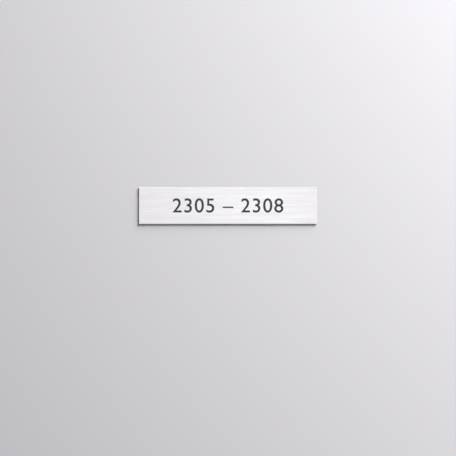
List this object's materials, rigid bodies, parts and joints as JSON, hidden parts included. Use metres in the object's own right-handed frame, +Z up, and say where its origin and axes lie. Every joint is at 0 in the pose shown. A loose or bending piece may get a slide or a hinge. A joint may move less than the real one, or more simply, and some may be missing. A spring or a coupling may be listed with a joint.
{
  "type": "mailbox name plate",
  "caption": "Flat rectangular name plate of brushed aluminium with a bevelled face, bonded by its back to a mailbox door to show whose box it is.",
  "frame": {"origin": "centre of the flat back face, which lies on the door", "axes": "+X along the plate to the viewer's right, +Y into the door, +Z up; the face looks along -Y"},
  "size_m": [0.12, 0.0015, 0.025],
  "materials": {
    "brushed_aluminium": "satin",
    "number_paint": "matte"
  },
  "bodies": {
    "root": {"name_plate": "brushed_aluminium"}
  },
  "joints": []
}
